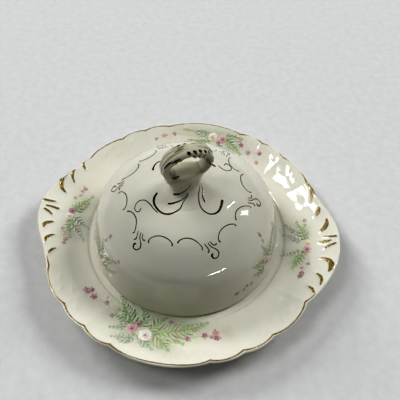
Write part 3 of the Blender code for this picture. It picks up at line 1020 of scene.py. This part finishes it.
# Free scrolls round the finial: on the dome, x, y and width in the cover's own frame, and then up
# the neck, the angle in degrees, height and width of each point.
SCROLLS = (
    (((-17.5, 1.1, 1.2), (-19.6, -0.6, 1.3), (-21.3, -3.4, 1.2), (-21.7, -7, 1.1), (-20.6, -11.6, 1.0),
      (-18.4, -14.7, 0.9), (-15.6, -16.1, 0.95), (-12.4, -16.2, 0.85), (-8.6, -15.1, 0.65),
      (-5.4, -12, 0.45)), ((-69.5, 59.8, 0.35), (-66, 61.4, 0.25))),
    (((-21.6, -12.6, 0.4), (-23, -9.2, 0.5), (-24.2, -4.6, 0.55), (-26.2, -0.6, 0.5), (-29, 0.6, 0.5),
      (-31.8, -0.4, 0.45), (-33.5, -3.2, 0.4), (-33, -5.7, 0.4), (-31.4, -6.3, 0.45),
      (-29.9, -4.7, 0.5)), ()),
    (((-14.3, -9, 1.0), (-12.4, -9.9, 1.1), (-10, -10.3, 0.9), (-6, -10.4, 0.6)),
     ((-73.8, 59.8, 0.4), (-70, 61.6, 0.25))),
    ((), ((-122.6, 59.2, 1.0), (-112, 59.7, 1.1), (-99.6, 60.6, 0.9), (-87, 62, 0.7), (-74.9, 63.6, 0.55),
          (-62, 65.6, 0.45), (-50, 67.8, 0.3))),
    (((18, -17.5, 1.45), (15.4, -21.5, 1.3), (12.6, -24.2, 1.05), (9.6, -25.1, 0.85), (6.6, -24.3, 0.7),
      (4.3, -21.6, 0.65), (3.4, -18, 0.6), (3.8, -14.6, 0.55), (5.4, -9.8, 0.5)),
     ((-12, 59.8, 0.45), (-1.5, 61.2, 0.3))),
    (((7, -16.2, 0.7), (7.1, -12.3, 0.6), (8.4, -9, 0.5)), ((3.4, 59.4, 0.4), (9, 61.0, 0.25))),
    (((26.4, 9.2, 0.45), (27.4, 6.2, 0.45), (29.4, 3.7, 0.45), (31.6, 3.2, 0.45), (33.7, 4.4, 0.45),
      (34.2, 6.6, 0.45), (32.8, 9.6, 0.7), (31.3, 9.4, 0.5), (30.1, 8.3, 0.4)), ()),
    # the far side of the cover has the two large scrolls too
    (((-14.4, 19.9, 1.3), (-13.4, 22.2, 1.0), (-11, 25, 0.8), (-8, 26, 0.65), (-5.2, 24, 0.6),
      (-4.2, 20.9, 0.6), (-3.5, 17.6, 0.55), (-3.9, 14, 0.5), (-5.4, 10.4, 0.42)), ()),
    (((24.2, 8.4, 1.3), (22.4, 11.6, 0.9), (18.4, 14.8, 0.8), (13.6, 16.2, 0.75), (8.6, 15.1, 0.65),
      (5, 12.7, 0.5), (2.4, 10.4, 0.4)), ()),
)


def cover_place(x, y, turn=0.0):
    """A place in the cover's own frame, turned further about its axis, in the dish's frame."""
    angle = COVER_TURN + turn
    return x * math.cos(angle) - y * math.sin(angle), x * math.sin(angle) + y * math.cos(angle)


def lay_cover_stroke(heap, skin, stroke, turn):
    path = smooth_path(stroke, 0.35)
    centre = [skin.drop(*cover_place(x, y, turn)) for x, y, _ in path]
    lay_ribbon(heap, skin, centre, 1.25 * path[:, 2], WHITE, rise=0.02, sides=5)


def make_ring_gold(skin, gold):
    heap = Heap()
    cluster = [[(x, -RING_MIDDLE - y, width) for x, y, width in stroke] for stroke in RING_CLUSTER]
    for repeat in range(RING_REPEATS):
        turn = math.tau * repeat / RING_REPEATS
        for stroke in cluster + list(RING_ARCS):
            lay_cover_stroke(heap, skin, stroke, turn)
    return finish_piece(heap.build("cover_gold_ring", gold), "lid")


def make_scroll_gold(skin, gold):
    heap = Heap()
    for dome_part, neck_part in SCROLLS:
        places = [(*skin.drop(*cover_place(x, y)), width) for x, y, width in dome_part]
        places += [(*skin.press(angle, height), width) for angle, height, width in neck_part]
        path = smooth_path(places, 0.35)
        centre = [skin.snap(spot[:3])[0] for spot in path]
        lay_ribbon(heap, skin, centre, 1.15 * path[:, 3], WHITE, rise=0.02, sides=5)
    return finish_piece(heap.build("cover_gold_scrolls", gold), "lid")


# ---------------------------------------------------------------- finial

LOOP_HALF_WIDTH = 13.6
LOOP_HALF_HEIGHT = 10.0
LOOP_CENTRE = FINIAL_TOP - LOOP_HALF_HEIGHT - 2.6
LOOP_SHIFT = 1.8            # along its own plane, off the axis of the cover
STRAP_WIDTH = 9.4
STRAP_THICKNESS = 4.6
FINIAL_VOXEL = 0.36 * MM
CREASE_DEPTH = 0.030        # bend of the surface across one voxel that takes the full painted shade
# brown of the painted shade in the finial's creases, also used for the worn gilding on its right side
CREASE_SHADE_AND_WEAR = (0.150, 0.120, 0.065)
STEM_PROFILE = (
    (2, 72.8), (8.6, 72.0), (10.6, 69.8), (10.4, 66.8), (9.2, 62.8), (9.5, 60.4), (11.2, 58.7),
    (14.5, 57.6), (18.5, 56.9), (22, 56.2), (23, 55.4), (21, 55.0), (3, 54.6),
)


def loop_point(angle, outward, aside):
    """A point by its angle round the loop, distance out from the strap's middle, and offset aside."""
    across = LOOP_SHIFT + (LOOP_HALF_WIDTH + outward) * math.cos(angle)
    up = LOOP_CENTRE + (LOOP_HALF_HEIGHT + outward) * math.sin(angle)
    return np.array([across, aside, up])


def tube(points, radii, corners=14, flatten=1.0):
    """Points and faces of a closed round bar along a path."""
    points = np.asarray(points, float)
    tangents = np.gradient(points, axis=0)
    tangents /= np.linalg.norm(tangents, axis=1)[:, None]
    out = []
    for place, tangent, radius in zip(points, tangents, radii):
        side = np.array([0.0, 1.0, 0.0])
        side -= tangent * (side @ tangent)
        side /= np.linalg.norm(side)
        up = np.cross(tangent, side)
        for corner in range(corners):
            angle = math.tau * corner / corners
            out.append(place + radius * (side * math.cos(angle) + flatten * up * math.sin(angle)))
    faces = swept_faces(len(points), corners)
    faces.append(tuple(reversed(range(corners))))
    faces.append(tuple((len(points) - 1) * corners + corner for corner in range(corners)))
    return out, faces


def strap_ring():
    """The main strap of the loop: a flattened oval section swept round an ellipse."""
    out = []
    count, corners = 96, 28
    for index in range(count):
        angle = math.tau * index / count
        for corner in range(corners):
            turn = math.tau * corner / corners
            outward = 0.5 * STRAP_THICKNESS * math.copysign(abs(math.cos(turn)) ** 0.8, math.cos(turn))
            aside = 0.5 * STRAP_WIDTH * math.copysign(abs(math.sin(turn)) ** 0.8, math.sin(turn))
            out.append(loop_point(angle, outward, aside))
    return out, swept_faces(count, corners, closed=True)


# Raised leaves along the strap: start and end angle, aside at both ends, outward, thickest radius.
LOOP_RIBS = (
    (206, 96, -3.7, -2.4, 1.0, 1.2), (198, 84, -1.2, 0.2, 1.6, 1.2), (190, 80, 1.6, 2.6, 1.4, 1.2),
    (160, 78, 3.9, 4.0, 0.5, 1.2), (16, 74, -3.3, -1.8, 1.3, 1.15), (-14, 66, 0.4, 1.2, 1.6, 1.2),
    (-22, 40, -2.8, -3.6, 0.9, 1.0), (-16, 52, 3.4, 3.6, 1.0, 1.1), (214, 168, -3.4, -4.2, 0.2, 1.1),
)
# Small leaf lobes on the front edge of the strap, by angle, with their aside and outward.
LOOP_LOBES = (
    (78, -3.9, 1.0), (66, -4.1, 1.0), (54, -4.2, 1.0), (42, -4.1, 1.0), (30, -4.0, 0.9),
    (72, -4.0, -1.4), (56, -4.1, -1.5), (40, -4.0, -1.5), (128, -4.1, -0.4), (112, -4.2, -0.2),
)


def raw_finial():
    """Loop, leaves, lobes and stem as overlapping closed shapes, still to be fused."""
    heap = Heap()

    def put(shape):
        points, faces = shape
        heap.add(points, faces, [FINIAL_TONE_AND_SHADE] * len(points))

    put(strap_ring())
    for start, end, aside_start, aside_end, outward, thickest in LOOP_RIBS:
        share = np.linspace(0, 1, 22)
        path = [loop_point(math.radians(start + (end - start) * s),
                           outward + 0.5, aside_start + (aside_end - aside_start) * s) for s in share]
        put(tube(path, 1.12 * thickest * (0.35 + 0.65 * np.sin(np.pi * share) ** 0.6), flatten=0.75))
    for angle, aside, outward in LOOP_LOBES:
        share = np.linspace(0, 1, 9)
        middle = loop_point(math.radians(angle), outward, aside)
        ahead = loop_point(math.radians(angle + 1), outward, aside) - middle
        ahead /= np.linalg.norm(ahead)
        path = [middle + ahead * 1.5 * (2 * s - 1) for s in share]
        put(tube(path, 0.25 + 1.0 * np.sin(np.pi * share) ** 0.7, corners=12))
    stem = smooth_path(STEM_PROFILE, 0.8)
    columns = 96
    angle = np.linspace(0, math.tau, columns, endpoint=False)
    above = np.clip((stem[:, 1:2] - 60) / 8, 0, 1)
    points = np.stack([
        stem[:, 0:1] * (1 + 0.15 * above) * np.cos(angle),
        stem[:, 0:1] * (1 - 0.25 * above) * np.sin(angle),
        np.repeat(stem[:, 1:2], columns, axis=1),
    ], axis=2).reshape(-1, 3)
    points = np.vstack([[[0, 0, stem[0, 1]]], points, [[0, 0, stem[-1, 1]]]])
    put((points, revolved_faces(len(stem), columns)))
    return heap


def creases(points, quads, rounds=4):
    """How far each place lies in a crease between the leaves, from 0 to 1, which sets the painted shade
    there.
    """
    corners = points[quads]
    across = np.cross(corners[:, 2] - corners[:, 0], corners[:, 3] - corners[:, 1])
    normals = np.zeros_like(points)
    for column in quads.T:
        np.add.at(normals, column, across)
    normals /= np.linalg.norm(normals, axis=1)[:, None]
    start = np.concatenate([quads[:, corner] for corner in range(4)])
    end = np.concatenate([quads[:, (corner + 1) % 4] for corner in range(4)])
    neighbours = np.bincount(start, minlength=len(points))[:, None]

    def averaged(values):
        total = np.zeros_like(values)
        np.add.at(total, start, values[end])
        return total / neighbours

    bend = np.sum((averaged(points) - points) * normals, axis=1)[:, None]
    for _ in range(rounds):
        bend = averaged(bend)
    return np.clip(bend[:, 0] / CREASE_DEPTH, 0, 0.85)


def worn_side(loop_points):
    """Patchy brown wear of the gilding on the right-hand side of the loop, from 0 to 1."""
    across = loop_points[:, 0] - LOOP_SHIFT
    up = loop_points[:, 2] - LOOP_CENTRE
    angle = np.degrees(np.arctan2(up / LOOP_HALF_HEIGHT, across / LOOP_HALF_WIDTH))
    side = np.exp(-((angle - 4) / 30) ** 4) * (across > 0)
    patches = 0.55 + 0.45 * np.sin(loop_points[:, 0] * 1.9 + 2 * np.sin(loop_points[:, 1] * 1.3)) * np.sin(
        loop_points[:, 2] * 1.7 + loop_points[:, 1])
    return 0.75 * side * patches


def make_finial(glaze):
    """Overlapping bars are fused with a fine voxel remesh and softened like slip-coated clay."""
    rough = raw_finial().build("finial_rough", glaze)
    remesh = rough.modifiers.new("Fuse", "REMESH")
    remesh.mode = "VOXEL"
    remesh.voxel_size = FINIAL_VOXEL
    soften = rough.modifiers.new("Soften", "SMOOTH")
    soften.factor = 0.5
    soften.iterations = 5
    graph = bpy.context.evaluated_depsgraph_get()
    fused = rough.evaluated_get(graph).to_mesh()
    points = np.zeros(len(fused.vertices) * 3)
    fused.vertices.foreach_get("co", points)
    points = points.reshape(-1, 3) / MM
    faces = [tuple(face.vertices) for face in fused.polygons]
    rough.evaluated_get(graph).to_mesh_clear()
    bpy.data.objects.remove(rough, do_unlink=True)
    c, s = math.cos(COVER_TURN), math.sin(COVER_TURN)
    middle = points.copy()
    points = points @ np.array([[c, s, 0], [-s, c, 0], [0, 0, 1]])
    height = points[:, 2]
    upper = np.clip((height - 58) / 9, 0, 1)[:, None]
    # the stem foot takes the cover's darker glaze and the loop the browner, darker finial glaze: both
    # carry painted shade
    colours = np.array(SHADED_COVER_GLAZE) * (1 - upper) + np.array(FINIAL_TONE_AND_SHADE) * upper
    # painted shade darkens the creases between the leaves; patchy brown wear of the gilding darkens the
    # right side of the loop
    shade_and_wear = np.maximum(creases(points, np.array(faces)), worn_side(middle))[:, None] * upper
    colours = colours * (1 - shade_and_wear) + np.array(CREASE_SHADE_AND_WEAR) * shade_and_wear
    finial = build_mesh("finial_loop", points, faces, colours, glaze)
    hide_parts("loop_finial")
    return finish_piece(finial, "lid")


# Gold on the loop: start and end angle round it, aside and outward at both ends, and width.
LOOP_STROKES = (
    (91, 87, -2.6, -5.2, 2.8, 0.5, 2.2), (78, 74, -2.6, -5.2, 2.8, 0.5, 2.5),
    (65, 61, -2.6, -5.2, 2.8, 0.5, 2.3), (52, 48, -2.6, -5.2, 2.8, 0.5, 2.0),
    (41, 38, -2.6, -5.0, 2.6, 0.8, 1.2), (93, 92, -5.2, -5.0, 0.2, -1.4, 1.5),
    (79, 78, -5.2, -5.0, 0.2, -1.4, 1.5), (64, 63, -5.2, -5.0, 0.2, -1.4, 1.4),
    (49, 48, -5.2, -5.0, 0.2, -1.4, 1.1), (162, 130, -3.4, -3.8, 2.2, 2.0, 1.2),
    (128, 100, -5.2, -5.0, 0.6, -0.6, 1.4), (136, 108, -4.9, -4.7, 1.6, 1.0, 0.9),
    (206, 238, -4.6, -3.4, -0.8, -2.4, 1.5), (8, -24, -4.6, -4.8, -1.6, 0.6, 1.2),
    (20, -4, -3.4, -3.8, -2.6, -2.2, 0.9), (30, 12, -0.8, -1.2, 2.8, 2.8, 0.9),
    (120, 96, 3.2, 3.8, 2.6, 2.6, 1.0), (76, 40, 3.6, 4.2, 2.6, 2.2, 0.9),
    (176, 140, 3.4, 3.6, 2.6, 2.6, 1.1), (104, 101, 3.0, 5.0, 2.6, 0.8, 1.7),
    (90, 87, 3.0, 5.0, 2.6, 0.8, 1.7), (-6, -30, 2.6, 2.8, 2.6, 2.6, 0.8),
)
LOOP_LEAF_GILDING = ((116, 94, -0.2, 0.4, 3.0, 3.0, 1.3), (108, 92, 1.4, 1.9, 3.0, 3.0, 0.7))


def lay_loop_stroke(heap, skin, stroke):
    start, end, aside_start, aside_end, outward_start, outward_end, width = stroke
    places = []
    for share in np.linspace(0, 1, 12):
        x, y, z = loop_point(
            math.radians(start + (end - start) * share),
            outward_start + (outward_end - outward_start) * share,
            aside_start + (aside_end - aside_start) * share,
        )
        places.append((*cover_place(x, y), z))
    places = np.array([skin.snap(place)[0] for place in smooth_path(places, 0.35)])
    along = travelled(places, 3) / travelled(places, 3)[-1]
    widths = width * (0.45 + 0.55 * np.sin(np.pi * np.clip(along, 0.05, 0.95)))
    lay_ribbon(heap, skin, places, widths, WHITE, rise=0.03, sides=5)


def make_finial_gold(skin, dark_gold, gold):
    for name, strokes, material in (
        ("finial_gold", LOOP_STROKES, dark_gold), ("finial_gilded_leaf", LOOP_LEAF_GILDING, gold),
    ):
        heap = Heap()
        for stroke in strokes:
            lay_loop_stroke(heap, skin, stroke)
        finish_piece(heap.build(name, material), "lid")


# ---------------------------------------------------------------- drainer

DRAINER_FEET = 3
FINGER_HOLE_RADIUS = 8.0
DRAIN_HOLE_RADIUS = 3.0
DRAIN_RINGS = ((20.0, 6), (33.0, 12))


def make_drainer(glaze):
    """The pierced drainer, with softened hole edges and three low feet."""
    low, high = drainer_low[2], drainer_high[2]
    radius = drainer_high[0]
    foot_height = 2.6
    bottom = low + foot_height

    def cylinder(shape, x, y, from_z, to_z, size, sides):
        bmesh.ops.create_cone(
            shape, cap_ends=True, segments=sides, radius1=size * MM, radius2=size * MM,
            depth=(to_z - from_z) * MM,
            matrix=Matrix.Translation((x * MM, y * MM, 0.5 * (from_z + to_z) * MM)),
        )

    def solid(name, shape):
        mesh = bpy.data.meshes.new(name)
        shape.to_mesh(mesh)
        shape.free()
        return link_object(name, mesh)

    disc = bmesh.new()
    cylinder(disc, 0, 0, bottom, high, radius, 160)
    drainer = solid("drainer_disc", disc)
    feet = bmesh.new()
    for foot in range(DRAINER_FEET):
        angle = math.tau * (foot + 0.25) / DRAINER_FEET
        reach = radius - 5.5
        cylinder(feet, reach * math.cos(angle), reach * math.sin(angle), low, bottom + 1, 3.4, 40)
    holes = bmesh.new()
    cylinder(holes, 0, 0, bottom - 1, high + 1, FINGER_HOLE_RADIUS, 72)
    for ring, count in DRAIN_RINGS:
        for hole in range(count):
            angle = math.tau * (hole + 0.41) / count
            cylinder(holes, ring * math.cos(angle), ring * math.sin(angle), bottom - 1, high + 1,
                     DRAIN_HOLE_RADIUS, 40)
    tools = [
        (solid("drainer_feet_tool", feet), "UNION"), (solid("drainer_holes_tool", holes), "DIFFERENCE"),
    ]
    for tool, operation in tools:
        cut = drainer.modifiers.new(tool.name, "BOOLEAN")
        cut.operation = operation
        cut.object = tool
    soft_edge = drainer.modifiers.new("SoftEdge", "BEVEL")
    soft_edge.width = 0.7 * MM
    soft_edge.segments = 3
    soft_edge.limit_method = "ANGLE"
    soft_edge.angle_limit = math.radians(50)
    graph = bpy.context.evaluated_depsgraph_get()
    mesh = bpy.data.meshes.new_from_object(drainer.evaluated_get(graph))
    for tool, _ in tools:
        bpy.data.objects.remove(tool, do_unlink=True)
    drainer.modifiers.clear()
    drainer.data = mesh
    tint = mesh.color_attributes.new("Tint", "FLOAT_COLOR", "POINT")
    tint.data.foreach_set("color", np.tile((*GLAZE, 1.0), len(mesh.vertices)).astype(np.float32))
    mesh.materials.clear()
    mesh.materials.append(glaze)
    mesh.shade_smooth()
    mesh.set_sharp_from_angle(angle=math.radians(35))
    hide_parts("drainer")
    return finish_piece(drainer, "insert")


# ---------------------------------------------------------------- stage

CAMERA_PLACE = Vector((33.2, -161.7, 267.3)) * MM
CAMERA_LENS = 38.76
CAMERA_PITCH = math.radians(53.77)
CAMERA_YAW = math.radians(8.31)
CAMERA_ROLL = math.radians(0.36)


def direction(azimuth, elevation):
    """Unit vector by its angle from +X toward +Y, and above the horizon, in degrees."""
    a, e = math.radians(azimuth), math.radians(elevation)
    return Vector((math.cos(e) * math.cos(a), math.cos(e) * math.sin(a), math.sin(e)))


def add_light(name, azimuth, elevation, distance, size, power, colour, glossy=True, diffuse=True):
    light = bpy.data.lights.new(name, "AREA")
    light.shape = "RECTANGLE"
    light.size, light.size_y = size
    light.energy = power
    light.color = colour
    item = link_object(name, light)
    way = direction(azimuth, elevation)
    target = Vector((0, 0, 0.03))
    item.location = target + way * distance
    item.rotation_euler = (-way).to_track_quat("-Z", "Y").to_euler()
    item.visible_glossy = glossy
    item.visible_diffuse = diffuse
    return item


DAYLIGHT = (0.955, 0.975, 1.0)
# Lamps that light but don't show in the glaze: name, azimuth, elevation, power.
SOFT_LAMPS = (
    ("key_left", 184, 58, 29.0), ("key_back", 146, 34, 56.0), ("key_right", 36, 36, 64.0),
    ("key_top", 90, 60, 6.0), ("fill_front", -100, 70, 7.0),
)
# Lamps that only show in the glaze: name, azimuth, elevation, distance, size, power, and whether
# only the plate mirrors it.
REFLECTED_LAMPS = (
    ("window_right", 25, 33, 1.0, (0.08, 0.24), 0.30, False),
    ("strip_right", 48, 53, 1.0, (0.012, 0.16), 0.12, False),
    ("strip_front", -48, 22, 1.0, (0.34, 0.010), 0.55, False),
    ("window_back", 147, 59, 1.2, (0.19, 0.23), 1.1, True),
    ("window_left", 188, 34, 1.2, (0.30, 0.22), 1.4, True),
)


def set_stage():
    scene = bpy.context.scene
    scene.view_settings.view_transform = "Standard"
    scene.view_settings.look = "Very High Contrast"
    floor_mesh = bpy.data.meshes.new("floor")
    shape = bmesh.new()
    bmesh.ops.create_grid(shape, x_segments=1, y_segments=1, size=3.0)
    shape.to_mesh(floor_mesh)
    shape.free()
    floor = link_object("floor", floor_mesh)
    material, nodes, links, shader = new_material("pale_floor")
    grain = ramp(nodes, links, noise(nodes, links, 160.0, 4.0), (
        (0.3, (0.640, 0.635, 0.620)), (0.7, (0.690, 0.685, 0.670)),
    ))
    links.new(grain, shader.inputs["Base Color"])
    shader.inputs["Roughness"].default_value = 0.6
    floor_mesh.materials.append(material)
    floor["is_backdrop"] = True

    world = bpy.data.worlds.new("studio")
    scene.world = world
    world.use_nodes = True
    nodes, links = world.node_tree.nodes, world.node_tree.links
    place = nodes.new("ShaderNodeTexCoord")
    split = nodes.new("ShaderNodeSeparateXYZ")
    links.new(place.outputs["Generated"], split.inputs["Vector"])
    sky = ramp(nodes, links, split.outputs["Z"], (
        (0.0, (0.08, 0.08, 0.077)), (0.25, (0.06, 0.06, 0.057)), (0.6, (0.03, 0.03, 0.028)),
    ))
    links.new(sky, nodes["Background"].inputs["Color"])

    for name, azimuth, elevation, power in SOFT_LAMPS:
        add_light(name, azimuth, elevation, 4.0, (1.4, 1.4), power, DAYLIGHT, glossy=False)
    plate_only = bpy.data.collections.new("plate_only")
    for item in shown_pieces():
        if body_of(item) == ["plate"]:
            plate_only.objects.link(item)
    for name, azimuth, elevation, distance, size, power, for_plate in REFLECTED_LAMPS:
        lamp = add_light(name, azimuth, elevation, distance, size, power, WHITE, diffuse=False)
        if for_plate:
            lamp.light_linking.receiver_collection = plate_only

    camera = bpy.data.cameras.new("camera")
    camera.lens = CAMERA_LENS
    camera.sensor_width = 36.0
    item = link_object("camera", camera)
    item.location = CAMERA_PLACE
    aim = Matrix.Rotation(CAMERA_YAW, 4, "Z") @ Matrix.Rotation(math.pi / 2 - CAMERA_PITCH, 4, "X")
    item.rotation_euler = (aim @ Matrix.Rotation(CAMERA_ROLL, 4, "Z")).to_euler()
    scene.camera = item


def main():
    glaze = glaze_material("cream_glaze")
    finial_glaze = glaze_material("finial_glaze_worn", gloss=0.09, mottle=0.16)
    drainer_glaze = glaze_material("drainer_glaze_plain", gloss=0.16)
    ink = print_material()
    gold = gold_material("gold_bright", (0.46, 0.35, 0.13), (0.70, 0.54, 0.24), 0.28, 0.75)
    dark_gold = gold_material("gold_dark", (0.10, 0.065, 0.030), (0.26, 0.175, 0.080), 0.22, 1.0)

    plate = make_plate(glaze)
    plate_skin = Skin(plate)
    make_rim_gold(plate_skin, gold)
    right_count = len(RIGHT_TAB_STROKES)
    make_tab_gold("tab_gold_right", TAB_STROKES[:right_count], plate_skin, gold)
    make_tab_gold("tab_gold_left", TAB_STROKES[right_count:], plate_skin, gold)
    for seed, (name, spray) in enumerate(PLATE_SPRAYS.items()):
        print_spray(name, spray, plate_skin, [on_plate(plate_skin)], ink, seed, "plate")

    cover = make_cover(glaze)
    cover_skin = Skin(cover)
    make_ring_gold(cover_skin, dark_gold)
    print_spray("cover_sprays", COVER_SPRAY, cover_skin,
                [on_cover_side(cover_skin, middle) for middle in COVER_SPRAY_ANGLES], ink, 20, "lid")
    finial = make_finial(finial_glaze)
    make_scroll_gold(Skin(cover, finial), dark_gold)
    make_finial_gold(Skin(finial), dark_gold, gold)
    make_drainer(drainer_glaze)
    set_stage()


main()
